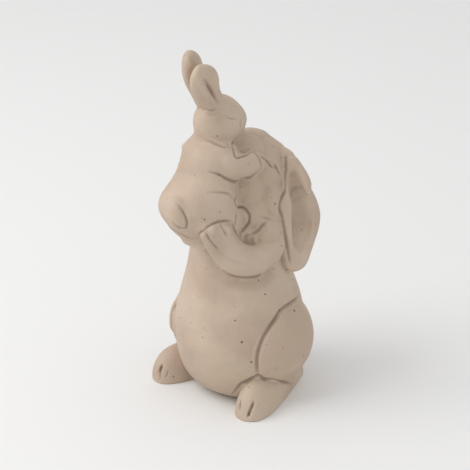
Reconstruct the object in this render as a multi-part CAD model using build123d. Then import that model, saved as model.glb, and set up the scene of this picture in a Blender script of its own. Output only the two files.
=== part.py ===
from build123d import *
import math
import os

# Ceramic rabbit figurine: a lop-eared parent sits up and lifts its baby to its face.
# Each piece is one casting. The castings are luted together with slip before the
# firing, so a piece is cut to the outer shape of what it sits on.
# Millimetres, +Z up, the parent faces -Y and its left side is +X. The origin is the
# middle of the base, on the table.

# Casting and luting
wall = 5.0
seam = 0.2
overrun = 4.0
pour_hole_radius = 9.0
neck_opening_radius = 10.0
vent_radius = 1.5

# Parent's body, standing on its base
body_height = 122.0
belly_half_width = 36.5
belly_front_depth = 38.5
belly_back_depth = 37.0

# Parent's haunches
haunch_half_width = 30.5
haunch_half_length = 29.5
haunch_half_height = 30.0

# Parent's hind feet
foot_length = 72.0
foot_half_width = 10.2
foot_height = 20.0
foot_splay = 12.5
right_foot_extra_splay = 5.5
toe_groove_half_width = 0.9

# Parent's arms
arm_half_width = 9.2
arm_half_thickness = 8.5
finger_groove_half_width = 0.8

# Parent's head
head_length = 52.0
head_half_width = 26.0
head_rise = 20.0
head_drop = 22.5
head_pitch = 13.0
head_setback = 6.5
head_lift = 11.0
eyelid_groove_half_width = 0.9

# Parent's lop ears
lop_ear_length = 78.0
lop_ear_half_width = 13.5
lop_ear_half_thickness = 4.6
lop_ear_hollow_depth = 2.4
lop_ear_flare = 16.0

# Parent's tail
tail_radius = 9.0

# Baby's body, leaning on the parent's muzzle
baby_height = 58.0
baby_half_width = 20.0
baby_half_depth = 21.0
baby_lean = 15.0
baby_reach = 16.0
baby_drop = 10.0

# Baby's head
baby_head_length = 37.5
baby_head_half_width = 12.2
baby_head_rise = 15.0
baby_head_drop = 13.0
baby_head_pitch = 12.0
baby_eyelid_groove_half_width = 0.6

# Baby's ears
baby_ear_length = 34.0
baby_ear_half_width = 8.4
baby_ear_half_thickness = 4.6
baby_ear_hollow_depth = 3.0
baby_ear_turn = 12.0
left_ear_lift = 13.0

# Baby's arms, legs and tail
baby_arm_radius = 6.6
baby_paw_radius = 6.0
baby_foot_half_height = 9.5
baby_foot_half_width = 4.6
baby_tail_half_height = 9.0
baby_tail_half_width = 6.0

# Shapes as shares of the sizes above.
# Body rings: height, half width, front depth, back depth
body_ring_shares = [
    (0.000, 0.66, 0.47, 0.60),
    (0.025, 0.77, 0.61, 0.70),
    (0.066, 0.87, 0.76, 0.81),
    (0.131, 0.94, 0.89, 0.90),
    (0.230, 0.99, 0.98, 0.98),
    (0.328, 1.00, 1.00, 1.00),
    (0.426, 0.97, 0.96, 0.95),
    (0.541, 0.88, 0.88, 0.82),
    (0.656, 0.79, 0.80, 0.69),
    (0.770, 0.76, 0.72, 0.64),
    (0.869, 0.73, 0.64, 0.64),
    (0.951, 0.66, 0.52, 0.60),
    (1.000, 0.55, 0.39, 0.50),
]
# Head rings from the back of the head to the muzzle: place along, half width, rise, drop
head_ring_shares = [
    (0.05, 0.36, 0.40, 0.50),
    (0.18, 0.58, 0.68, 0.82),
    (0.38, 0.84, 0.93, 1.00),
    (0.58, 1.00, 0.98, 0.98),
    (0.76, 0.88, 0.79, 0.82),
    (0.90, 0.58, 0.52, 0.60),
    (0.97, 0.34, 0.30, 0.36),
]
# Foot rings from heel to toe: place along, half width, height
foot_ring_shares = [
    (0.04, 0.40, 0.30),
    (0.15, 0.66, 0.62),
    (0.35, 0.84, 0.92),
    (0.60, 1.00, 1.00),
    (0.80, 1.00, 0.98),
    (0.93, 0.78, 0.76),
    (0.98, 0.46, 0.46),
]
# Baby's body rings from rump to neck: place up the spine, half width, front, back
baby_ring_shares = [
    (-0.22, 0.48, 0.40, 0.44),
    (-0.12, 0.78, 0.72, 0.82),
    (0.02, 1.00, 0.95, 1.22),
    (0.13, 1.00, 0.97, 1.24),
    (0.24, 0.94, 0.93, 0.98),
    (0.40, 0.84, 0.86, 0.71),
    (0.60, 0.80, 0.76, 0.70),
    (0.74, 0.50, 0.46, 0.46),
]
# Baby's head rings from the nape to the nose
baby_head_ring_shares = [
    (0.05, 0.45, 0.45, 0.48),
    (0.20, 0.84, 0.86, 0.86),
    (0.42, 1.00, 1.00, 1.00),
    (0.62, 0.88, 0.84, 0.94),
    (0.80, 0.60, 0.58, 0.74),
    (0.93, 0.34, 0.34, 0.44),
]
# Lop ear rings from root to tip: half width, thickness
lop_ear_ring_shares = [
    (0.36, 0.80),
    (0.44, 1.00),
    (0.62, 1.00),
    (1.00, 1.00),
    (0.90, 0.92),
    (0.62, 0.74),
]
# Lop ear spine, tips included: outwards by head half widths, back by half head
# lengths and up by ear lengths, from the centre of the head
lop_ear_spine_shares = [
    (0.38, 0.28, 0.090),
    (0.62, 0.31, 0.100),
    (0.88, 0.25, 0.055),
    (1.07, 0.19, -0.050),
    (1.21, 0.17, -0.230),
    (1.23, 0.20, -0.475),
    (1.21, 0.145, -0.640),
    (1.18, 0.077, -0.725),
]
# Baby's ear rings from root to tip: half width, thickness
baby_ear_ring_shares = [
    (0.70, 0.95),
    (0.80, 1.00),
    (0.98, 1.00),
    (0.96, 0.90),
    (0.62, 0.70),
]
# Baby's ear spine, tips included: outwards by head half widths, back by half head
# lengths and up by ear lengths, from the centre of the baby's head
baby_ear_spine_shares = [
    (0.37, 0.37, 0.27),
    (0.41, 0.605, 0.42),
    (0.46, 0.81, 0.58),
    (0.52, 1.015, 0.756),
    (0.56, 1.17, 0.93),
    (0.59, 1.28, 1.065),
    (0.61, 1.33, 1.15),
]
# Arm rings from shoulder to paw: thickness, half width
arm_ring_shares = [
    (0.80, 0.88),
    (0.95, 0.96),
    (1.00, 1.00),
    (0.94, 1.00),
    (0.80, 1.00),
    (0.66, 1.06),
]
# Arm spines: shoulder and elbow on the parent's body, paw round the baby's rump
left_shoulder_spine_shares = [
    (0.50, 0.30, 0.934),
    (0.57, 0.125, 0.885),
    (0.66, -0.06, 0.807),
    (0.685, -0.340, 0.758),
    (0.616, -0.600, 0.762),
]
left_paw_spine_shares = [
    (0.975, -0.11, -0.86),
    (0.90, 0.24, -0.32),
    (0.78, 0.32, 0.28),
]
right_shoulder_spine_shares = [
    (0.50, 0.300, 0.934),
    (0.57, 0.125, 0.880),
    (0.60, -0.100, 0.795),
    (0.560, -0.320, 0.765),
]
right_paw_spine_shares = [
    (0.825, -0.70, -0.96),
    (0.65, -0.22, -0.65),
    (0.45, 0.21, -0.33),
    (0.28, 0.58, 0.04),
]
# Baby's arm spine on the baby's body: outwards, towards its back, up its spine
baby_arm_spine_shares = [
    (0.36, 0.30, 0.60),
    (0.55, 0.10, 0.57),
    (0.76, -0.30, 0.50),
    (0.80, -0.72, 0.475),
    (0.78, -1.10, 0.455),
    (0.73, -1.38, 0.435),
]

# Baby's arm rings from shoulder to paw: share of the arm's or the paw's radius
baby_arm_ring_shares = [1.00, 1.00, 0.98, 0.94]
# Places on the parent's body: outwards, back (minus is forwards), up
haunch_place_share = (0.38, 0.04, 0.290)
foot_heel_share = (0.436, 0.954, 0)
tail_place_share = (0, 0.96, 0.17)
# Places from the baby's hip: outwards, towards its back, up
baby_thigh_place_share = (0.56, -0.26, -0.10)
baby_foot_place_share = (0.70, -1.00, -0.40)
baby_tail_place_share = (0.12, 1.03, 0.40)
baby_tail_thickness_share = 0.75
baby_tail_ring_shares = [
    (0.10, 0.60, 0.60, 0.60),
    (0.30, 0.92, 0.92, 0.92),
    (0.50, 1.00, 1.00, 1.00),
    (0.70, 0.92, 0.92, 0.92),
    (0.90, 0.60, 0.60, 0.60),
]
# Baby's thigh as shares of the rump: half width, half depth, half height
baby_thigh_size_share = (0.50, 0.62, 0.62)
# Places on the baby's body: outwards, towards its back, up its spine
baby_head_place_share = (0, -0.28, 0.87)
baby_cavity_place_share = (0, 0.06, 0.20)
baby_spine_end_shares = (-0.27, 0.84)
# Cavities as shares of the outer form, before the wall is taken off
body_cavity_ring_shares = body_ring_shares[2:-1]
head_cavity_share = 0.88
baby_cavity_size_share = (0.90, 0.74, 0.42)
# Grooves, each from one end to the other
# Between the toes: along the foot, across it, up
toe_groove_shares = [
    ((0.925, 0.44, 0.70), (1.000, 0.19, 0.10)),
    ((0.930, -0.44, 0.68), (0.995, -0.26, 0.20)),
]
# Between the fingers, round the baby's rump: outwards, towards its back, up
finger_groove_shares = [
    ((1.00, 0.70, -0.02), (1.02, 0.64, -0.36)),
    ((1.10, 0.24, 0.20), (1.18, 0.22, -0.12)),
]
# Closed eyes: outwards, towards the nose, up
eyelid_shares = ((0.655, 0.39, 0.80), (1.000, 0.10, 0.22))
baby_eyelid_shares = ((0.96, 0.00, 0.36), (0.80, 0.46, 0.24))

forward = Vector(0, -1, 0)
up = Vector(0, 0, 1)
leftward = Vector(1, 0, 0)


def ring(plane, half_width, high, low):
    # A closed section of four quarter ellipses that meet square to the axes
    arcs = [
        EllipticalCenterArc((0, 0), half_width, along, 90 * turn, arc_size=90)
        for turn, along in enumerate((high, high, low, low))
    ]
    return plane * make_face(arcs)


def spine_form(points, sizes, across, grow=0.0):
    # A rounded form along a spine: the first and last points are its tips, and each
    # point between them has a half width, a height above and a depth below
    rings = []
    for before, here, after, size in zip(points, points[1:], points[2:], sizes):
        along = (after - before).normalized()
        side = across - along * across.dot(along)
        plane = Plane(origin=here, x_dir=side, z_dir=along)
        rings.append(ring(plane, *[part + grow for part in size]))
    first = points[0] + (points[0] - points[1]).normalized() * grow
    last = points[-1] + (points[-1] - points[-2]).normalized() * grow
    return loft([Vertex(*first), *rings, Vertex(*last)])


def straight_form(start, end, ring_shares, half_width, high, low, grow=0.0):
    # A rounded form along a straight spine from tip to tip
    points = [start + (end - start) * row[0] for row in ring_shares]
    sizes = [
        (width * half_width, rise * high, drop * low)
        for _, width, rise, drop in ring_shares
    ]
    return spine_form([start, *points, end], sizes, leftward, grow)


def egg(centre, half_sizes, grow=0.0, turn=(0, 0, 0)):
    # An ellipsoid of the given half sizes
    grown = tuple(half + grow for half in half_sizes)
    return Pos(*centre) * Rot(*turn) * scale(Sphere(1), by=grown)


def groove(start, end, half_width):
    # A shallow carved line, deepest in the middle
    run = end - start
    plane = Plane(origin=start + run * 0.5, z_dir=run.normalized())
    half_sizes = (half_width, half_width, run.length / 2)
    return plane * scale(Sphere(1), by=half_sizes)


def tunnel(start, end, radius):
    # A round hole between two places
    run = end - start
    plane = Plane(origin=start, z_dir=run.normalized())
    return extrude(plane * Circle(radius), run.length)


def main_solid(shape):
    # What a cut leaves of a casting, without crumbs
    return max(shape.solids(), key=lambda solid: solid.volume)


def seated(shape, *seats):
    # The casting cut to sit on its neighbours
    for seat in seats:
        shape = main_solid(shape - seat)
    return shape


def above_table(shape):
    # Keeps what stands above the table, so that the sole is flat
    reach = 2 * body_height
    return main_solid(shape & Pos(0, 0, reach / 2) * Box(reach, reach, reach))


def mirrored(shape):
    return mirror(shape, about=Plane.YZ)


# Places


def on_body(out, back, height):
    # On the parent's body, from the middle of its base
    depth = belly_front_depth if back < 0 else belly_back_depth
    return Vector(out * belly_half_width, back * depth, height * body_height)


head_centre = Vector(0, head_setback, body_height + head_lift)
head_axis = Vector(0, -math.cos(math.radians(head_pitch)), -math.sin(math.radians(head_pitch)))
muzzle_tip = head_centre + head_axis * (head_length / 2)

baby_hip = muzzle_tip + forward * baby_reach - up * baby_drop
baby_spine = Vector(0, math.sin(math.radians(baby_lean)), math.cos(math.radians(baby_lean)))


def on_head(out, along, height):
    # On the parent's head, from its centre towards the muzzle
    return (
        head_centre
        + leftward * (out * head_half_width)
        + head_axis * (along * head_length / 2)
        + up * (height * head_rise)
    )


def on_rump(out, back, height):
    # Round the baby's rump, from its hip
    return (
        baby_hip
        + leftward * (out * baby_half_width)
        + forward * (back * baby_half_depth)
        + up * (height * baby_half_depth)
    )


def on_baby(out, back, height):
    # On the baby's body, from its hip up its spine
    return (
        baby_hip
        + leftward * (out * baby_half_width)
        + forward * (back * baby_half_depth)
        + baby_spine * (height * baby_height)
    )


baby_head_centre = on_baby(*baby_head_place_share)
baby_head_axis = Vector(
    0, math.cos(math.radians(baby_head_pitch)), -math.sin(math.radians(baby_head_pitch))
)


def on_baby_head(out, along, height):
    # On the baby's head, from its centre towards the nose
    return (
        baby_head_centre
        + leftward * (out * baby_head_half_width)
        + baby_head_axis * (along * baby_head_length / 2)
        + up * (height * baby_head_rise)
    )


# Outer forms of the parent


def body_form(grow=0.0, ring_shares=body_ring_shares):
    rings = [
        ring(
            Plane.XY.offset(height * body_height),
            width * belly_half_width + grow,
            back * belly_back_depth + grow,
            front * belly_front_depth + grow,
        )
        for height, width, front, back in ring_shares
    ]
    return loft(rings)


def head_form(grow=0.0):
    # Its sections look towards the muzzle, so that the rise comes first
    half = head_axis * (head_length / 2)
    return straight_form(
        head_centre - half,
        head_centre + half,
        head_ring_shares,
        head_half_width,
        head_rise,
        head_drop,
        grow,
    )


def haunch_form(grow=0.0):
    half_sizes = (haunch_half_width, haunch_half_length, haunch_half_height)
    return egg(on_body(*haunch_place_share), half_sizes, grow)


def on_foot(splay, along, across, height):
    # On the left hind foot, from its heel
    axis = Vector(math.sin(math.radians(splay)), -math.cos(math.radians(splay)), 0)
    side = Vector(-axis.Y, axis.X, 0)
    return (
        on_body(*foot_heel_share)
        + axis * (along * foot_length)
        + side * (across * foot_half_width)
        + up * (height * foot_height)
    )


def foot_form(splay, grow=0.0):
    # The sole is cut flat afterwards
    places = [0, *[row[0] for row in foot_ring_shares], 1]
    points = [on_foot(splay, along, 0, 0) for along in places]
    sizes = [
        (width * foot_half_width, height * foot_height, height * foot_height)
        for _, width, height in foot_ring_shares
    ]
    side = on_foot(splay, 0, 1, 0) - on_foot(splay, 0, 0, 0)
    return spine_form(points, sizes, side.normalized(), grow)


def toe_grooves(splay):
    return [
        groove(on_foot(splay, *start), on_foot(splay, *end), toe_groove_half_width)
        for start, end in toe_groove_shares
    ]


def arm_form(shoulder_spine_shares, paw_spine_shares, grow=0.0):
    # Built on the left; the right arm is the mirror image of its form
    points = [on_body(*row) for row in shoulder_spine_shares]
    points += [on_rump(*row) for row in paw_spine_shares]
    sizes = [
        (thickness * arm_half_thickness, width * arm_half_width, width * arm_half_width)
        for thickness, width in arm_ring_shares
    ]
    return spine_form(points, sizes, leftward, grow)


def finger_grooves():
    return [
        groove(on_rump(*start), on_rump(*end), finger_groove_half_width)
        for start, end in finger_groove_shares
    ]


def tail_form(grow=0.0):
    return egg(on_body(*tail_place_share), (tail_radius,) * 3, grow)


def outward_from(across):
    # Square to a level direction across an ear
    return Vector(across.Y, -across.X, 0)


def turned_across(angle):
    # A level direction that leans outwards from straight back
    return Vector(math.sin(math.radians(angle)), math.cos(math.radians(angle)), 0)


def lop_ear_spine():
    return [
        head_centre
        + leftward * (out * head_half_width)
        - forward * (back * head_length / 2)
        + up * (height * lop_ear_length)
        for out, back, height in lop_ear_spine_shares
    ]


def lop_ear_form(grow=0.0):
    sizes = [
        (
            width * lop_ear_half_width,
            thickness * lop_ear_half_thickness,
            thickness * lop_ear_half_thickness,
        )
        for width, thickness in lop_ear_ring_shares
    ]
    return spine_form(lop_ear_spine(), sizes, turned_across(lop_ear_flare), grow)


def lop_ear_hollow():
    # A long scoop in the outer face of the hanging ear
    spine = lop_ear_spine()
    middle = (spine[3] + spine[5]) * 0.5
    outward = outward_from(turned_across(lop_ear_flare))
    centre = middle + outward * (2 * lop_ear_half_thickness - lop_ear_hollow_depth)
    half_sizes = (lop_ear_half_thickness, 0.55 * lop_ear_half_width, 0.34 * lop_ear_length)
    return egg(centre, half_sizes, turn=(0, 0, -lop_ear_flare))


# Outer forms of the baby


def baby_body_form(grow=0.0):
    low, high = baby_spine_end_shares
    points = [on_baby(0, 0, row[0]) for row in baby_ring_shares]
    sizes = [
        (width * baby_half_width, front * baby_half_depth, back * baby_half_depth)
        for _, width, front, back in baby_ring_shares
    ]
    ends = on_baby(0, 0, low), on_baby(0, 0, high)
    return spine_form([ends[0], *points, ends[1]], sizes, leftward, grow)


def baby_head_form(grow=0.0):
    # Its sections look towards the nose, so that the drop comes first
    half = baby_head_axis * (baby_head_length / 2)
    ring_shares = [(along, width, drop, rise) for along, width, rise, drop in baby_head_ring_shares]
    return straight_form(
        baby_head_centre - half,
        baby_head_centre + half,
        ring_shares,
        baby_head_half_width,
        baby_head_drop,
        baby_head_rise,
        grow,
    )


def baby_ear_spine():
    return [
        baby_head_centre
        + leftward * (out * baby_head_half_width)
        + forward * (back * baby_head_length / 2)
        + up * (height * baby_ear_length)
        for out, back, height in baby_ear_spine_shares
    ]


def baby_ear_form(grow=0.0):
    sizes = [
        (
            width * baby_ear_half_width,
            thickness * baby_ear_half_thickness,
            thickness * baby_ear_half_thickness,
        )
        for width, thickness in baby_ear_ring_shares
    ]
    return spine_form(baby_ear_spine(), sizes, turned_across(baby_ear_turn), grow)


def baby_ear_hollow():
    # The cup of the upright ear, open outwards
    spine = baby_ear_spine()
    middle = (spine[1] + spine[5]) * 0.5
    run = spine[5] - spine[1]
    lean = math.degrees(math.atan2(-run.Y, run.Z))
    outward = outward_from(turned_across(baby_ear_turn))
    centre = middle + outward * (2 * baby_ear_half_thickness - baby_ear_hollow_depth)
    half_sizes = (baby_ear_half_thickness, 0.5 * baby_ear_half_width, 0.36 * baby_ear_length)
    return egg(centre, half_sizes, turn=(lean, 0, -baby_ear_turn))


def baby_arm_form(grow=0.0):
    points = [on_baby(*row) for row in baby_arm_spine_shares]
    radii = (baby_arm_radius, baby_arm_radius, baby_paw_radius, baby_paw_radius)
    sizes = [(share * radius,) * 3 for share, radius in zip(baby_arm_ring_shares, radii)]
    return spine_form(points, sizes, up, grow)


def baby_leg_form(grow=0.0):
    width, depth, height = baby_thigh_size_share
    thigh_sizes = (width * baby_half_width, depth * baby_half_depth, height * baby_half_depth)
    foot_sizes = (baby_foot_half_width, baby_foot_half_width, baby_foot_half_height)
    thigh = egg(on_rump(*baby_thigh_place_share), thigh_sizes, grow)
    foot = egg(on_rump(*baby_foot_place_share), foot_sizes, grow)
    return thigh + foot


def baby_tail_form(grow=0.0):
    centre = on_rump(*baby_tail_place_share)
    half = up * baby_tail_half_height
    width = baby_tail_half_width
    thickness = baby_tail_thickness_share * width
    rings = baby_tail_ring_shares
    return straight_form(centre - half, centre + half, rings, width, thickness, thickness, grow)


# Hollows that the poured slip leaves


def body_cavity():
    return body_form(-wall, body_cavity_ring_shares)


def head_cavity():
    half_sizes = (
        head_cavity_share * head_half_width - wall,
        head_cavity_share * head_length / 2 - wall,
        head_cavity_share * head_rise - wall,
    )
    return egg(head_centre, half_sizes, turn=(head_pitch, 0, 0))


def baby_cavity():
    width, depth, height = baby_cavity_size_share
    half_sizes = (
        width * baby_half_width - wall,
        depth * baby_half_depth - wall,
        height * baby_height - wall,
    )
    return egg(on_baby(*baby_cavity_place_share), half_sizes, turn=(-baby_lean, 0, 0))


floor_thickness = body_cavity_ring_shares[0][0] * body_height
cavity_top = body_cavity_ring_shares[-1][0] * body_height
pour_hole = tunnel(-up * overrun, up * (floor_thickness + overrun), pour_hole_radius)
neck_opening = tunnel(up * (cavity_top - overrun), head_centre, neck_opening_radius)
vent = tunnel(on_baby(*baby_cavity_place_share), head_centre, vent_radius)

# Seats for the neighbours
body_seat = body_form(seam)
head_seat = head_form(seam)
haunch_seat = haunch_form(seam)
baby_body_seat = baby_body_form(seam)
baby_head_seat = baby_head_form(seam)
baby_leg_seat = baby_leg_form(seam)
baby_tail_seat = baby_tail_form(seam)
lop_ear_seat = lop_ear_form(seam)


# Castings


def left_eyelid():
    start, end = eyelid_shares
    return groove(on_head(*start), on_head(*end), eyelid_groove_half_width)


def baby_right_eyelid():
    start, end = baby_eyelid_shares
    return groove(on_baby_head(*start), on_baby_head(*end), baby_eyelid_groove_half_width)


def with_pair_cut(shape, cutter):
    # The same cut on both sides of the middle
    return main_solid(shape - cutter - mirrored(cutter))


def foot_casting(splay):
    foot = seated(above_table(foot_form(splay)), body_seat, haunch_seat)
    return seated(foot, *toe_grooves(splay))


def arm_casting(shoulder_spine_shares, paw_spine_shares):
    arm = arm_form(shoulder_spine_shares, paw_spine_shares)
    seats = (body_seat, head_seat, baby_body_seat, baby_leg_seat, baby_tail_seat)
    return seated(arm, *seats, lop_ear_seat)


castings = {}

body = seated(body_form(), body_cavity(), pour_hole, neck_opening)
castings["parent_body"] = body

haunch = seated(above_table(haunch_form()), body_seat)
castings["parent_left_haunch"] = haunch
castings["parent_right_haunch"] = mirrored(haunch)

castings["parent_left_foot"] = foot_casting(foot_splay)
castings["parent_right_foot"] = mirrored(foot_casting(foot_splay + right_foot_extra_splay))

left_arm = arm_casting(left_shoulder_spine_shares, left_paw_spine_shares)
right_arm = arm_casting(right_shoulder_spine_shares, right_paw_spine_shares)
castings["parent_left_arm"] = seated(left_arm, *finger_grooves())
castings["parent_right_arm"] = mirrored(right_arm)

head = seated(head_form(), body_seat, head_cavity(), neck_opening, vent)
castings["parent_head"] = with_pair_cut(head, left_eyelid())
lop_ear = seated(lop_ear_form() - lop_ear_hollow(), body_seat, head_seat)
castings["parent_left_ear"] = lop_ear
castings["parent_right_ear"] = mirrored(lop_ear)
castings["parent_tail"] = seated(tail_form(), body_seat)

castings["baby_body"] = seated(baby_body_form(), body_seat, head_seat, baby_cavity(), vent)
baby_head = seated(baby_head_form(), baby_body_seat, head_seat)
castings["baby_head"] = with_pair_cut(baby_head, baby_right_eyelid())

baby_ear = baby_ear_form() - baby_ear_hollow()
ear_root = Axis(baby_ear_spine()[0], leftward)
castings["baby_right_ear"] = seated(baby_ear, baby_head_seat)
lifted_ear = mirrored(baby_ear).rotate(ear_root, -left_ear_lift)
castings["baby_left_ear"] = seated(lifted_ear, baby_head_seat)

baby_arm = seated(baby_arm_form(), baby_body_seat, head_seat, baby_head_seat)
castings["baby_right_arm"] = baby_arm
castings["baby_left_arm"] = mirrored(baby_arm)

baby_leg = seated(baby_leg_form(), baby_body_seat, head_seat, body_seat)
castings["baby_right_leg"] = baby_leg
castings["baby_left_leg"] = mirrored(baby_leg)
castings["baby_tail"] = seated(baby_tail_form(), baby_body_seat)

os.makedirs("parts", exist_ok=True)
for name, casting in castings.items():
    export_step(casting, f"parts/{name}.step")
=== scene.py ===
import math
import bpy
import numpy as np
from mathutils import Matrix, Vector
from mathutils.bvhtree import BVHTree


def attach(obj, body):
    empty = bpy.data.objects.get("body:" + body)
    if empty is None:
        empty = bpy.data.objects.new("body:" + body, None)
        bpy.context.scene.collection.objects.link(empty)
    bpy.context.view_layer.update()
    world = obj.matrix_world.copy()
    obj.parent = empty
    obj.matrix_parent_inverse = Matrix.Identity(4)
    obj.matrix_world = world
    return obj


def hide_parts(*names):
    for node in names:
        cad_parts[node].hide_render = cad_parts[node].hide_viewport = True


mm = 0.001

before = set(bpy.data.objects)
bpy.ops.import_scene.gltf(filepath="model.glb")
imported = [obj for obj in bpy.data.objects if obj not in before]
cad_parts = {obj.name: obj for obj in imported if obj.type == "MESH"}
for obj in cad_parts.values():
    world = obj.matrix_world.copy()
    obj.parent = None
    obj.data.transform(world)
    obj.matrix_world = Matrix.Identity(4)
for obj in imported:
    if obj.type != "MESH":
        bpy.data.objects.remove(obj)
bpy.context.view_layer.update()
castingNames = sorted(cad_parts)
print("frame loaded:", len(castingNames), "castings")

# The photographer's place: degrees and mm, for an image of 470 x 470
photo = {
    "azimuth": 40,
    "elevation": 24,
    "aim": (0, -5, 95),
    "distance": 900,
    "mmPerPixel": 0.56,
    "pixels": 470,
    "sensor": 36,
}


def cameraBack():
    az = math.radians(photo["azimuth"])
    el = math.radians(photo["elevation"])
    return Vector((math.sin(az) * math.cos(el), -math.cos(az) * math.cos(el), math.sin(el)))


cameraPlace = (Vector(photo["aim"]) + cameraBack() * photo["distance"]) * mm


def photoRay(u, v):
    # Direction from the camera through a pixel of the photograph
    az = math.radians(photo["azimuth"])
    right = Vector((math.cos(az), math.sin(az), 0))
    back = cameraBack()
    upward = back.cross(right)
    half = photo["pixels"] / 2
    across = (u - half) * photo["mmPerPixel"]
    down = (v - half) * photo["mmPerPixel"]
    return (right * across - upward * down - back * photo["distance"]).normalized()


def pick(obj):
    bpy.ops.object.select_all(action="DESELECT")
    obj.select_set(True)
    bpy.context.view_layer.objects.active = obj


def applyModifiers(obj):
    pick(obj)
    for modifier in list(obj.modifiers):
        bpy.ops.object.modifier_apply(modifier=modifier.name)


# Clay: the castings are copied, joined and smoothed into one skin

# Lengths in mm, and rounds of smoothing
clay = {
    "weld": 0.01,
    "fatten": 0.12,
    "coreVoxel": 1.0,
    "coreRounds": 6,
    "fill": 2.2,
    "voxel": 0.55,
    "quickVoxel": 1.0,
    "melt": 18,
    "quickMelt": 6,
    "settle": 2,
    "smoothing": 0.5,
    "wall": 1.6,
    "ballSegments": 48,
    "ballRings": 24,
}
# Where the clay is pressed a little way from its casting, in mm
pressed = {"parent_right_arm": (4.0, 3.4, 1.6), "baby_right_ear": (-0.6, -0.5, 0)}


def pushOut(obj, distance):
    push = obj.modifiers.new("push", "DISPLACE")
    push.strength = distance * mm
    push.mid_level = 0
    applyModifiers(obj)


def soften(obj, rounds):
    smooth = obj.modifiers.new("soften", "SMOOTH")
    smooth.factor = clay["smoothing"]
    smooth.iterations = rounds
    applyModifiers(obj)


def copyCasting(name):
    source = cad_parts[name]
    lump = source.copy()
    lump.data = source.data.copy()
    lump.name = name + "Clay"
    lump.parent = None
    lump.location = [shift * mm for shift in pressed.get(name, (0, 0, 0))]
    bpy.context.collection.objects.link(lump)
    lump.data.materials.clear()
    pick(lump)
    bpy.ops.object.mode_set(mode="EDIT")
    bpy.ops.mesh.select_all(action="SELECT")
    bpy.ops.mesh.remove_doubles(threshold=clay["weld"] * mm)
    bpy.ops.object.mode_set(mode="OBJECT")
    pushOut(lump, clay["fatten"])
    return lump


lumps = [copyCasting(name) for name in castingNames]

# Which casting each bit of skin belongs to
ownerCorners = []
ownerFaces = []
ownerOfFace = []
for index, lump in enumerate(lumps):
    first = len(ownerCorners)
    ownerCorners.extend(v.co.copy() for v in lump.data.vertices)
    for face in lump.data.polygons:
        ownerFaces.append([first + corner for corner in face.vertices])
        ownerOfFace.append(index)
ownerTree = BVHTree.FromPolygons(ownerCorners, ownerFaces)
print("castings copied")

# Lumps of clay that the plain castings leave out: centre, half sizes and turn
extraClay = {
    "hindFoot": {"at": (13.5, -16, 110), "size": (5.5, 5, 8), "turn": (-20, 0, 0), "pair": True},
    "paw": {"at": (17.5, -13, 144.5), "size": (4.5, 9, 6.5), "turn": (8, 0, 0), "pair": True},
    "muzzle": {"at": (0, -11, 126), "size": (17.5, 12, 14)},
    "neck": {"at": (0, 1, 117), "size": (25.5, 22.5, 16)},
    "temple": {"at": (24.5, -1, 117), "size": (5, 8, 15), "pair": True},
    "cheek": {"at": (14.5, -9, 125), "size": (9, 10, 16), "pair": True},
    "jaw": {"at": (17.5, -9, 114), "size": (9.5, 10, 14), "pair": True},
    "pocket": {"at": (15.5, -14, 102), "size": (10, 10, 10), "pair": True},
    "elbow": {"at": (22, -6, 106), "size": (9.5, 10, 12), "pair": True},
    "brow": {"at": (5, -4, 145.5), "size": (13, 12, 10), "pair": True},
    "earShoulder": {"at": (31, 13.5, 132.5), "size": (4, 5.5, 13), "turn": (0, -36, 0), "pair": True},
    "babyCore": {"at": (0, -33, 128.5), "size": (14, 11.5, 20.5), "turn": (-15, 0, 0)},
}


def addLump(name, settings, side=1):
    x, y, z = settings["at"]
    turn = [math.radians(angle) for angle in settings.get("turn", (0, 0, 0))]
    bpy.ops.mesh.primitive_uv_sphere_add(
        segments=clay["ballSegments"], ring_count=clay["ballRings"], radius=mm,
        location=(side * x * mm, y * mm, z * mm),
        rotation=(turn[0], side * turn[1], side * turn[2]),
        scale=settings["size"],
    )
    lump = bpy.context.object
    lump.name = name
    return lump


for name, settings in extraClay.items():
    lumps.append(addLump(name, settings))
    if settings.get("pair"):
        lumps.append(addLump(name + "Other", settings, side=-1))


def joinClay(pieces, voxel):
    pick(pieces[0])
    for piece in pieces:
        piece.select_set(True)
    bpy.ops.object.join()
    joined = bpy.context.object
    joined.data.remesh_voxel_size = voxel * mm
    joined.data.remesh_voxel_adaptivity = 0
    bpy.ops.object.voxel_remesh()
    return joined


# All but the thin pieces are swollen, joined anew and shrunk back: slip fills the narrow gaps
thinNames = ("ear", "foot", "haunch")
thin = [lump for lump in lumps if any(word in lump.name for word in thinNames)]
core = joinClay([lump for lump in lumps if lump not in thin], clay["coreVoxel"])
soften(core, clay["coreRounds"])
pushOut(core, clay["fill"])
core = joinClay([core], clay["coreVoxel"])
pushOut(core, -clay["fill"])
skin = joinClay([core] + thin, clay["voxel"])
skin.name = "skin"
soften(skin, clay["melt"])
print("skin:", len(skin.data.polygons), "faces")


# Sculpting with strokes, as with a clay tool

# Reaches in widths of the stroke, and shares of its depth
tool = {
    "margin": 2,
    "taper": 0.2,
    "tip": 0.25,
    "fade": 2,
    "fadeStart": 0.6,
    "ironReach": 1.5,
    "ironPull": 0.6,
}
lineStep = 0.8 * mm
farOff = 1e9


def readPoints(mesh):
    points = np.empty(len(mesh.vertices) * 3, np.float32)
    mesh.vertices.foreach_get("co", points)
    return points.reshape(-1, 3)


def readEdges(mesh):
    edges = np.empty(len(mesh.edges) * 2, np.int32)
    mesh.edges.foreach_get("vertices", edges)
    return edges.reshape(-1, 2)


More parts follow.
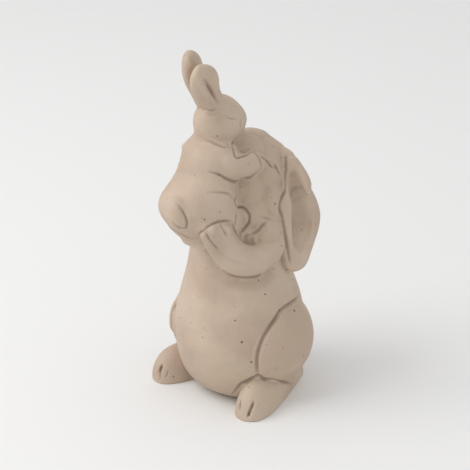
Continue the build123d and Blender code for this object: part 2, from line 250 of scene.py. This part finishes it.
def cornerNormals(mesh, points):
    # Every face of a voxel remesh has four corners
    corners = np.empty(len(mesh.loops), np.int32)
    mesh.loops.foreach_get("vertex_index", corners)
    quads = corners.reshape(-1, 4)
    a, b, c, d = points[quads.T]
    faceNormals = np.cross(c - a, d - b)
    total = np.zeros((len(points), 3), np.float64)
    for corner in range(4):
        for axis in range(3):
            total[:, axis] += np.bincount(quads[:, corner], faceNormals[:, axis], len(points))
    length = np.linalg.norm(total, axis=1)
    length[length == 0] = 1
    return (total / length[:, None]).astype(np.float32), quads


def neighbourSums(values, edges):
    # For each point, the sum of its neighbours' values
    a, b = edges.T
    return np.bincount(a, values[b], len(values)) + np.bincount(b, values[a], len(values))


class Surface:
    # The skin's points and normals, read once for a run of strokes
    def __init__(self, obj):
        self.mesh = obj.data
        self.points = readPoints(self.mesh)
        self.edges = readEdges(self.mesh)
        # Carved places, to be darkened later with painted shade
        self.mark = np.zeros(len(self.points), np.float32)
        self.refresh()

    def refresh(self):
        self.mesh.vertices.foreach_set("co", self.points.ravel())
        self.mesh.update()
        self.normals, quads = cornerNormals(self.mesh, self.points)
        self.tree = BVHTree.FromPolygons(self.points.tolist(), quads.tolist())

    def find(self, spot):
        # Two numbers are a pixel of the photograph, three are mm
        if len(spot) == 2:
            return self.tree.ray_cast(cameraPlace, photoRay(*spot))[:2]
        return self.tree.find_nearest(Vector(spot) * mm)[:2]


def findSpots(surface, settings):
    # Places and normals along the line, on the other side of the object where it is mirrored
    spots = [surface.find(spot) for spot in settings["line"]]
    side = Vector((-1 if settings.get("mirrored") else 1, 1, 1))
    found = [(place * side, normal * side) for place, normal in spots if place is not None]
    if not found:
        print("no skin under", settings["name"])
    return found


def flowingLine(points):
    # A smooth line through the points, in short steps
    ends = [points[0] * 2 - points[1]] + points + [points[-1] * 2 - points[-2]]
    line = []
    for a, b, c, d in zip(ends, ends[1:], ends[2:], ends[3:]):
        pieces = max(2, int((c - b).length / lineStep))
        for i in range(pieces):
            t = i / pieces
            bow = (2 * a - 5 * b + 4 * c - d) * t ** 2
            swing = (3 * b - a - 3 * c + d) * t ** 3
            line.append((2 * b + (c - a) * t + bow + swing) / 2)
    line.append(points[-1])
    return line


def stroke(surface, settings):
    # Moves the skin along a line: a positive depth carves, a negative one builds up
    spots = findSpots(surface, settings)
    if not spots:
        return
    facing = sum((normal for place, normal in spots), Vector()).normalized()
    line = flowingLine([place for place, normal in spots])
    path = np.array([surface.tree.find_nearest(p)[0] for p in line], np.float32)
    width = settings["width"] * mm
    depth = settings["depth"] * mm
    low = path.min(axis=0) - tool["margin"] * width
    high = path.max(axis=0) + tool["margin"] * width
    near = np.nonzero(np.all((surface.points > low) & (surface.points < high), axis=1))[0]
    points = surface.points[near]
    best = np.full(len(near), farOff, np.float32)
    share = np.zeros(len(near), np.float32)
    for i, p in enumerate(path):
        away = np.linalg.norm(points - p, axis=1)
        closer = away < best
        best[closer] = away[closer]
        share[closer] = i / (len(path) - 1)
    fall = np.clip(1 - (best / width) ** 2, 0, 1) ** 2
    ends = np.clip(np.minimum(share, 1 - share) / settings.get("taper", tool["taper"]), 0, 1)
    fall *= tool["tip"] + (1 - tool["tip"]) * ends
    # Skin that turns away from the stroke moves less
    towards = surface.normals[near] @ np.array(facing, np.float32)
    fall *= np.clip(tool["fade"] * towards + tool["fadeStart"], 0, 1)
    surface.points[near] -= surface.normals[near] * (fall * depth)[:, None]
    # Carved places are remembered for the painted shade in the grooves
    if depth > 0:
        surface.mark[near] = np.maximum(surface.mark[near], fall ** 2)


def iron(surface, settings):
    # Evens out the skin along a line, point by point with its neighbours
    spots = findSpots(surface, settings)
    if not spots:
        return
    away = np.full(len(surface.points), farOff, np.float32)
    for p in flowingLine([place for place, normal in spots]):
        away = np.minimum(away, np.linalg.norm(surface.points - np.array(p, np.float32), axis=1))
    weight = np.clip(tool["ironReach"] * (1 - (away / (settings["width"] * mm)) ** 2), 0, 1)
    edges = surface.edges[np.all(weight[surface.edges] > 0, axis=1)]
    inside, edges = np.unique(edges, return_inverse=True)
    edges = edges.reshape(-1, 2)
    count = np.bincount(edges.ravel(), minlength=len(inside))
    # Points at the border, with few neighbours, stay in place
    pull = tool["ironPull"] * weight[inside] * (count > 2)
    points = surface.points[inside].astype(np.float64)
    for turn in range(settings["rounds"]):
        sums = np.stack([neighbourSums(points[:, axis], edges) for axis in range(3)], axis=1)
        points += pull[:, None] * (sums / count[:, None] - points)
    surface.points[inside] = points


def sculpt(surface, strokes):
    for settings in strokes:
        work = iron if "rounds" in settings else stroke
        work(surface, settings)
        if settings.get("pair"):
            work(surface, {**settings, "mirrored": True})
    surface.refresh()


# Lines are pixels of the photograph, or mm; widths and depths are mm

# Where castings of different kinds run together the skin is evened out first
ironed = [
    {"name": "rump", "line": [(193, 228), (196, 234)], "width": 8, "rounds": 60},
    {
        "name": "earShoulder", "width": 9, "rounds": 100, "pair": True,
        "line": [(298, 172), (301, 182), (303, 192)],
    },
    {"name": "earRim", "line": [(312, 196), (314, 210)], "width": 7, "rounds": 60, "pair": True},
    {"name": "shoulder", "line": [(184, 145), (184, 152)], "width": 10, "rounds": 120},
    {
        "name": "nearEar", "width": 6, "rounds": 160,
        "line": [(206, 74), (209, 82), (213, 92), (216, 98)],
    },
    {"name": "earFoot", "line": [(203, 104), (206, 106)], "width": 2.5, "rounds": 20},
]

# Then the broad strokes
shaping = [
    # Parent's ears: a long hollow with a full rim, and a smooth root
    {
        "name": "earHollow", "width": 6.5, "depth": 2.2, "pair": True,
        "line": [(293, 168), (296, 184), (298, 202), (298, 222), (296, 240)],
    },
    {
        "name": "earHollowTop", "width": 5.5, "depth": 3.0, "pair": True,
        "line": [(290, 168), (294, 178), (297, 190), (298, 198)],
    },
    {
        "name": "earNotch", "width": 8, "depth": -1.5, "pair": True,
        "line": [(281, 147), (286, 151), (290, 156)],
    },
    # Parent's crown
    {
        "name": "crownBack", "width": 13, "depth": 2.4,
        "line": [(-12, 24, 144), (0, 27, 145), (12, 24, 144)],
    },
    {
        "name": "crownTop", "width": 13, "depth": -1.6,
        "line": [(-8, 13, 152), (0, 11, 153), (8, 13, 152)],
    },
    # Parent's cheek stands over the chest
    {"name": "throat", "line": [(250, 230), (258, 230), (268, 226)], "width": 5, "depth": 1.0},
    {"name": "chestPocket", "line": [(243, 238), (250, 240), (256, 239)], "width": 4, "depth": 2.0},
    # Hand under the small one, and its forearm
    {
        "name": "fingers", "width": 3.5, "depth": -0.9,
        "line": [(206, 234), (214, 230), (224, 229), (231, 231)],
    },
    {"name": "fingerLow", "line": [(202, 238), (205, 233)], "width": 3, "depth": -0.9},
    {
        "name": "fingerMiddle", "width": 3.2, "depth": -1.0,
        "line": [(214, 236), (212, 230), (215, 226)],
    },
    {"name": "fingerHigh", "line": [(229, 234), (227, 225)], "width": 3.2, "depth": -0.8},
    {
        "name": "handBand", "width": 3, "depth": -0.8,
        "line": [(166, 222), (176, 232), (188, 238), (200, 240)],
    },
    {
        "name": "forearmFold", "width": 2.5, "depth": 0.5,
        "line": [(214, 246), (224, 256), (236, 262), (250, 266)],
    },
    # Sides that the photograph sees only as an outline
    {"name": "farShoulder", "line": [(-17, -32, 152), (-18, -33, 144)], "width": 10, "depth": 1.8},
    {
        "name": "farHaunch", "width": 13, "depth": -2.0,
        "line": [(-31, -22, 47), (-32, -21, 38), (-31, -22, 30)],
    },
    # Under the forearm
    {
        "name": "armLedge", "width": 7, "depth": 2.2,
        "line": [(226, 275), (238, 280), (248, 281), (258, 279), (268, 274), (279, 263)],
    },
    # Small one's ears
    {
        "name": "nearEarFold", "width": 2.8, "depth": -0.9,
        "line": [(198, 73), (201, 83), (206, 93), (213, 102)],
    },
    {
        "name": "earBaseFill", "width": 4, "depth": -0.9,
        "line": [(211, 114), (219, 112), (225, 106), (226, 100)],
    },
    {"name": "farEarFold", "line": [(186, 56), (189, 62), (192, 70)], "width": 2, "depth": -0.6},
]

# Last the carved lines
grooves = [
    # Parent's haunches, feet and forearm
    {
        "name": "haunch", "width": 1.8, "depth": 1.7, "pair": True, "taper": 0.1,
        "line": [
            (299, 296), (284, 308), (274.6, 320), (264, 336), (258.6, 350), (256.6, 363),
            (257.9, 376),
        ],
    },
    {
        "name": "footTop", "width": 1.4, "depth": 1.4, "pair": True,
        "line": [
            (233, 394), (239.8, 385.3), (246.5, 381.3), (258, 376), (264, 378.6), (277, 380.6),
            (292, 384),
        ],
    },
    {
        "name": "toe", "width": 1, "depth": 1.2, "pair": True,
        "line": [(253.9, 402), (250.5, 410), (247.2, 418)],
    },
    {
        "name": "toeFaint", "width": 0.9, "depth": 0.4, "pair": True,
        "line": [(241, 401), (239, 411)],
    },
    {
        "name": "armLower", "width": 1.4, "depth": 1.2, "taper": 0.3,
        "line": [(224, 271), (234, 275.5), (247, 277), (260, 274), (270, 268), (277, 261)],
    },
    # Parent's ears and closed eyes
    {
        "name": "earInner", "width": 1.3, "depth": 1.2, "pair": True, "taper": 0.05,
        "line": [
            (285.5, 154), (286, 174), (285, 190), (280, 205), (283, 221), (285.7, 236.4),
            (290, 264),
        ],
    },
    {
        "name": "lid", "width": 1.3, "depth": 1.6, "pair": True,
        "line": [(261, 156), (265, 158.5), (268.5, 162.5), (272, 166.5), (275, 168)],
    },
    {
        "name": "lidCorner", "width": 1.2, "depth": 1.4, "pair": True,
        "line": [(274, 164), (276.5, 167), (279, 172), (280.5, 175)],
    },
    # Small one, from its arm down to its tail
    {
        "name": "babyArmLower", "width": 1.2, "depth": 1.4, "taper": 0.15,
        "line": [
            (210, 172), (220, 175), (228, 179.5), (237, 181.5), (246, 178.5), (255, 174.5),
            (261, 169),
        ],
    },
    {
        "name": "babyArmUpper", "width": 1.1, "depth": 1.4, "taper": 0.1,
        "line": [
            (232, 143), (234, 151), (236.5, 157.5), (243, 156), (250.5, 151.8), (257, 154.5),
            (261, 162), (261.5, 168),
        ],
    },
    {
        "name": "babyCheek", "width": 1.1, "depth": 1.2, "taper": 0.1,
        "line": [(240.5, 134), (237, 138.5), (232.5, 144)],
    },
    {
        "name": "babyChest", "width": 1.2, "depth": 1.5, "taper": 0.1,
        "line": [(236.8, 181), (237.2, 194), (235.5, 201), (237.5, 207)],
    },
    {
        "name": "babyThigh", "width": 1.3, "depth": 0.8, "taper": 0.4,
        "line": [(208, 193), (220, 192.5), (229, 194), (234.5, 200)],
    },
    {
        "name": "babyChin", "width": 1.3, "depth": 0.9, "taper": 0.4,
        "line": [(205, 140), (214, 143), (225, 147), (232, 146)],
    },
    {
        "name": "babyLid", "width": 0.7, "depth": 0.8,
        "line": [(225.5, 116.5), (230, 118.5), (236.5, 119)],
    },
    {
        "name": "babyMouth", "width": 0.8, "depth": 0.8,
        "line": [(241, 118.5), (240.5, 123), (240.5, 128.5)],
    },
    {
        "name": "babyFoot", "width": 1, "depth": 1.4, "taper": 0.1,
        "line": [(237.5, 207), (243.5, 207.5), (249, 215), (248, 224), (240.5, 234)],
    },
    {
        "name": "babyFootInner", "width": 1, "depth": 1, "taper": 0.2,
        "line": [(236.5, 212), (236, 221), (234.8, 228)],
    },
    {
        "name": "babyTail", "width": 1.1, "depth": 1.2, "taper": 0.3,
        "line": [
            (174, 200.5), (180, 207), (185, 216), (187, 225), (184, 229), (176, 226), (168, 219),
        ],
    },
    # Hand under the small one
    {
        "name": "fingertips", "width": 1, "depth": 1.2, "taper": 0.15,
        "line": [(199, 235.5), (203, 230.5), (208, 226.5), (216, 222.5), (224, 221), (231, 221)],
    },
    {
        "name": "fingerOne", "width": 0.9, "depth": 1,
        "line": [(205, 230), (208, 237), (213, 244), (219, 250)],
    },
    {
        "name": "fingerTwo", "width": 0.9, "depth": 0.9,
        "line": [(220.5, 222), (222.5, 228), (227, 236)],
    },
    {
        "name": "fingerEdge", "width": 1, "depth": 1.2,
        "line": [(232, 222), (234.5, 229), (238, 236)],
    },
    # Small one's ear
    {
        "name": "nearEarCrease", "width": 1.5, "depth": 1.6, "taper": 0.45,
        "line": [(205, 80), (208.5, 86), (212, 92), (215.5, 98), (219, 104)],
    },
    {
        "name": "earBase", "width": 1.1, "depth": 1,
        "line": [(202.5, 107.5), (207, 110), (211, 111), (216, 109)],
    },
    # Folds in the crook of the arm, and the edge of the far hand
    {
        "name": "elbowCrease", "width": 1.3, "depth": 0.9, "taper": 0.3,
        "line": [(244, 237), (256, 232), (263, 225), (269, 220)],
    },
    {
        "name": "chestFold", "width": 1.2, "depth": 0.4, "taper": 0.4,
        "line": [(257, 216), (266, 218), (275, 221)],
    },
    {
        "name": "bandEdge", "width": 1, "depth": 0.8,
        "line": [(160, 213), (170, 228), (184, 236), (197, 240)],
    },
]

surface = Surface(skin)
sculpt(surface, ironed)
sculpt(surface, shaping)
# Painted shade goes only into the carved lines, not into the broad strokes
surface.mark[:] = 0
sculpt(surface, grooves)

soften(skin, clay["settle"])
print("grooves carved")


# Ceramic: warm taupe with fine dark specks, matte, with painted shade in its creases

colours = {
    "clay": (0.585, 0.464, 0.357, 1),
    "shade": (0.50, 0.38, 0.287, 1),
    "olive": (0.42, 0.335, 0.225, 1),
    "worn": (0.60, 0.50, 0.40, 1),
    # Painted shade: the dark colour laid into creases, hollows and carved lines
    "crease": (0.19, 0.13, 0.09, 1),
    "speck": (0.085, 0.05, 0.035, 1),
}
# Noise over the object: cells per metre, detail, and the values that become 0 and 1
clouds = {
    "shade": {"scale": 34, "detail": 5, "low": 0.62, "high": 0.40},
    "olive": {"scale": 17, "detail": 3, "low": 0.50, "high": 0.72},
    "rough": {"scale": 60, "detail": 4, "low": 0.3, "high": 0.7},
    "grain": {"scale": 900, "detail": 4, "low": 0.2, "high": 0.8},
    "waves": {"scale": 110, "detail": 3, "low": 0.2, "high": 0.8},
}
dots = {
    "large": {"Scale": 250, "Share": 0.12, "Size": 0.18},
    "fine": {"Scale": 520, "Share": 0.08, "Size": 0.30},
}
# Share of each coat; the crease coat is painted shade
coats = {"olive": 0.35, "worn": 0.35, "crease": 0.55, "large": 0.8, "fine": 0.42}
roughness = {"To Min": 0.55, "To Max": 0.72}
bumps = {
    "grain": {"Strength": 0.35, "Distance": 0.0002},
    "waves": {"Strength": 0.4, "Distance": 0.0012},
    "pits": {"Strength": 0.5, "Distance": 0.0003},
}


def addNode(tree, kind, **values):
    node = tree.nodes.new("ShaderNode" + kind)
    for key, value in values.items():
        setattr(node, key, value)
    return node


def setSockets(node, values):
    for key, value in values.items():
        node.inputs[key].default_value = value
    return node


def makeSpeckGroup():
    # Dark dots in a few cells of a cell pattern
    group = bpy.data.node_groups.new("fineSpecks", "ShaderNodeTree")
    group.interface.new_socket("Vector", in_out="INPUT", socket_type="NodeSocketVector")
    for name in ("Scale", "Share", "Size"):
        group.interface.new_socket(name, in_out="INPUT", socket_type="NodeSocketFloat")
    group.interface.new_socket("Mask", in_out="OUTPUT", socket_type="NodeSocketFloat")
    start = group.nodes.new("NodeGroupInput")
    end = group.nodes.new("NodeGroupOutput")
    cells = addNode(group, "TexVoronoi")
    split = addNode(group, "SeparateColor")
    chosen = addNode(group, "Math", operation="LESS_THAN")
    small = addNode(group, "Math", operation="MULTIPLY")
    edge = addNode(group, "Math", operation="LESS_THAN")
    both = addNode(group, "Math", operation="MULTIPLY")
    link = group.links.new
    link(start.outputs["Vector"], cells.inputs["Vector"])
    link(start.outputs["Scale"], cells.inputs["Scale"])
    link(cells.outputs["Color"], split.inputs["Color"])
    link(split.outputs["Red"], chosen.inputs[0])
    link(start.outputs["Share"], chosen.inputs[1])
    link(split.outputs["Green"], small.inputs[0])
    link(start.outputs["Size"], small.inputs[1])
    link(cells.outputs["Distance"], edge.inputs[0])
    link(small.outputs["Value"], edge.inputs[1])
    link(chosen.outputs["Value"], both.inputs[0])
    link(edge.outputs["Value"], both.inputs[1])
    link(both.outputs["Value"], end.inputs["Mask"])
    return group


def makeCeramic():
    material = bpy.data.materials.new("taupeCeramic")
    material.use_nodes = True
    tree = material.node_tree
    link = tree.links.new
    shader = tree.nodes["Principled BSDF"]
    where = addNode(tree, "TexCoord")

    def cloud(name):
        look = clouds[name]
        noise = addNode(tree, "TexNoise")
        setSockets(noise, {"Scale": look["scale"], "Detail": look["detail"]})
        link(where.outputs["Object"], noise.inputs["Vector"])
        spread = addNode(tree, "MapRange")
        setSockets(spread, {"From Min": look["low"], "From Max": look["high"]})
        link(noise.outputs["Fac"], spread.inputs["Value"])
        return spread.outputs["Result"]

    def specks(name):
        cells = setSockets(addNode(tree, "Group", node_tree=speckGroup), dots[name])
        link(where.outputs["Object"], cells.inputs["Vector"])
        return cells.outputs["Mask"]

    def kept(name):
        return addNode(tree, "Attribute", attribute_name=name).outputs["Fac"]

    def layer(under, colour, mask, share=1):
        strength = addNode(tree, "Math", operation="MULTIPLY")
        link(mask, strength.inputs[0])
        strength.inputs[1].default_value = share
        mix = addNode(tree, "Mix", data_type="RGBA")
        mix.inputs["B"].default_value = colours[colour]
        link(under, mix.inputs["A"])
        link(strength.outputs["Value"], mix.inputs["Factor"])
        return mix.outputs["Result"]

    def bump(name, height, under=None):
        node = setSockets(addNode(tree, "Bump"), bumps[name])
        link(height, node.inputs["Height"])
        if under:
            link(under.outputs["Normal"], node.inputs["Normal"])
        return node

    largeDots = specks("large")
    base = addNode(tree, "RGB")
    base.outputs["Color"].default_value = colours["clay"]
    colour = layer(base.outputs["Color"], "shade", cloud("shade"))
    colour = layer(colour, "olive", cloud("olive"), coats["olive"])
    colour = layer(colour, "worn", kept("ridge"), coats["worn"])
    # Painted shade: creases, hollows and carved lines are darkened as if in shadow
    colour = layer(colour, "crease", kept("crease"), coats["crease"])
    colour = layer(colour, "speck", largeDots, coats["large"])
    colour = layer(colour, "speck", specks("fine"), coats["fine"])
    link(colour, shader.inputs["Base Color"])

    matte = setSockets(addNode(tree, "MapRange"), roughness)
    link(cloud("rough"), matte.inputs["Value"])
    link(matte.outputs["Result"], shader.inputs["Roughness"])

    grain = bump("grain", cloud("grain"))
    waves = bump("waves", cloud("waves"), grain)
    pits = bump("pits", largeDots, waves)
    pits.invert = True
    link(pits.outputs["Normal"], shader.inputs["Normal"])
    return material


speckGroup = makeSpeckGroup()
ceramic = makeCeramic()
print("ceramic mixed")


# The skin is parted again along the castings

mesh = skin.data
mesh.materials.clear()
for name in castingNames:
    mesh.materials.append(bpy.data.materials.new(name + "Part"))
centres = np.empty(len(mesh.polygons) * 3, np.float32)
mesh.polygons.foreach_get("center", centres)
nearest = [ownerTree.find_nearest(Vector(centre))[2] for centre in centres.reshape(-1, 3)]
owners = [ownerOfFace[face] for face in nearest]
mesh.polygons.foreach_set("material_index", owners)
mesh.polygons.foreach_set("use_smooth", [True] * len(owners))
mesh.update()
skinPoints = readPoints(mesh)
skinNormals, quads = cornerNormals(mesh, skinPoints)

# How far a ridge or a crease is felt: rounds of evening out, and strength per mm
wearAndShade = {"flatten": 10, "blend": 2, "strength": 4}
edges = readEdges(mesh)
neighbours = np.maximum(1, np.bincount(edges.ravel(), minlength=len(skinPoints)))


def spreadOut(values, rounds):
    # Each point takes half of its neighbours' mean, as often as asked
    for turn in range(rounds):
        values = (values + neighbourSums(values, edges) / neighbours) / 2
    return values


# How the skin bends, in mm: ridges above zero, creases below
exact = skinPoints.astype(np.float64)
flattened = np.stack([spreadOut(exact[:, axis], wearAndShade["flatten"]) for axis in range(3)], axis=1)
height = np.sum((exact - flattened) * skinNormals, axis=1) / mm
bend = spreadOut(height, wearAndShade["blend"]) * wearAndShade["strength"]
# The ridge mask lightens worn edges; the crease mask carries the painted shade of hollows and carved
# lines
masks = {
    "ridge": np.clip(bend, 0, 1),
    "crease": np.clip(np.maximum(-bend, surface.mark), 0, 1),
}
for name, values in masks.items():
    mask = mesh.attributes.new(name, "FLOAT", "POINT")
    mask.data.foreach_set("value", values.astype(np.float32))
memory = mesh.attributes.new("skinNormal", "FLOAT_VECTOR", "POINT")
memory.data.foreach_set("vector", skinNormals.ravel())
# Masks for worn ridges and for painted shade in the creases are now kept on the skin
print("wear found")


def giveWall(part):
    # A wall on the inner side; the outer half keeps the skin's own normals, so that no seam shades
    outer = readPoints(part.data)
    shell = part.modifiers.new("wall", "SOLIDIFY")
    shell.thickness = clay["wall"] * mm
    shell.offset = -1
    applyModifiers(part)
    remembered = np.empty(len(part.data.vertices) * 3, np.float32)
    part.data.attributes["skinNormal"].data.foreach_get("vector", remembered)
    remembered = remembered.reshape(-1, 3)
    outerFirst = np.abs(readPoints(part.data)[:len(outer)] - outer).max() < clay["weld"] * mm
    inner = slice(len(outer), None) if outerFirst else slice(None, len(outer))
    remembered[inner] = 0
    part.data.normals_split_custom_set_from_vertices(remembered.tolist())
    part.data.attributes.remove(part.data.attributes["skinNormal"])


pick(skin)
bpy.ops.object.mode_set(mode="EDIT")
bpy.ops.mesh.select_all(action="SELECT")
bpy.ops.mesh.separate(type="MATERIAL")
bpy.ops.object.mode_set(mode="OBJECT")
for part in list(bpy.context.selected_objects):
    name = part.data.materials[0].name.removesuffix("Part")
    part.data.materials.clear()
    part.data.materials.append(ceramic)
    part.data.polygons.foreach_set("material_index", [0] * len(part.data.polygons))
    giveWall(part)
    words = name.split("_")
    part.name = words[0] + "".join(word.capitalize() for word in words[1:])
    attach(part, "root")
    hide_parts(name)
    print(part.name, len(part.data.polygons), "faces")


# Studio: pale floor that runs up to the horizon, soft light from all round

studio = {
    "floor": (0.86, 0.86, 0.855, 1),
    "floorSize": 6,
    "floorRoughness": 0.9,
    "sky": 0.75,
    "key": 8,
    "keySize": 0.9,
    "keyPlace": (-0.55, -0.75, 1.1),
    "keyAim": (0, 0, 0.1),
}

bpy.ops.mesh.primitive_plane_add(size=studio["floorSize"], location=(0, 0, 0))
floor = bpy.context.object
floor.name = "floor"
paper = bpy.data.materials.new("palePaper")
paper.use_nodes = True
setSockets(
    paper.node_tree.nodes["Principled BSDF"],
    {"Base Color": studio["floor"], "Roughness": studio["floorRoughness"]},
)
floor.data.materials.append(paper)

world = bpy.data.worlds.new("studio")
bpy.context.scene.world = world
world.use_nodes = True
setSockets(world.node_tree.nodes["Background"], {"Color": (1, 1, 1, 1), "Strength": studio["sky"]})

bpy.ops.object.light_add(type="AREA", location=studio["keyPlace"])
key = bpy.context.object
key.name = "softbox"
key.data.shape = "SQUARE"
key.data.size = studio["keySize"]
key.data.energy = studio["key"]
key.rotation_euler = (Vector(studio["keyAim"]) - key.location).to_track_quat("-Z", "Y").to_euler()

bpy.ops.object.camera_add(
    location=cameraPlace,
    rotation=(math.radians(90 - photo["elevation"]), 0, math.radians(photo["azimuth"])),
)
camera = bpy.context.object
camera.data.sensor_width = photo["sensor"]
camera.data.lens = photo["distance"] / photo["mmPerPixel"] * photo["sensor"] / photo["pixels"]
bpy.context.scene.camera = camera
bpy.context.scene.view_settings.view_transform = "Standard"
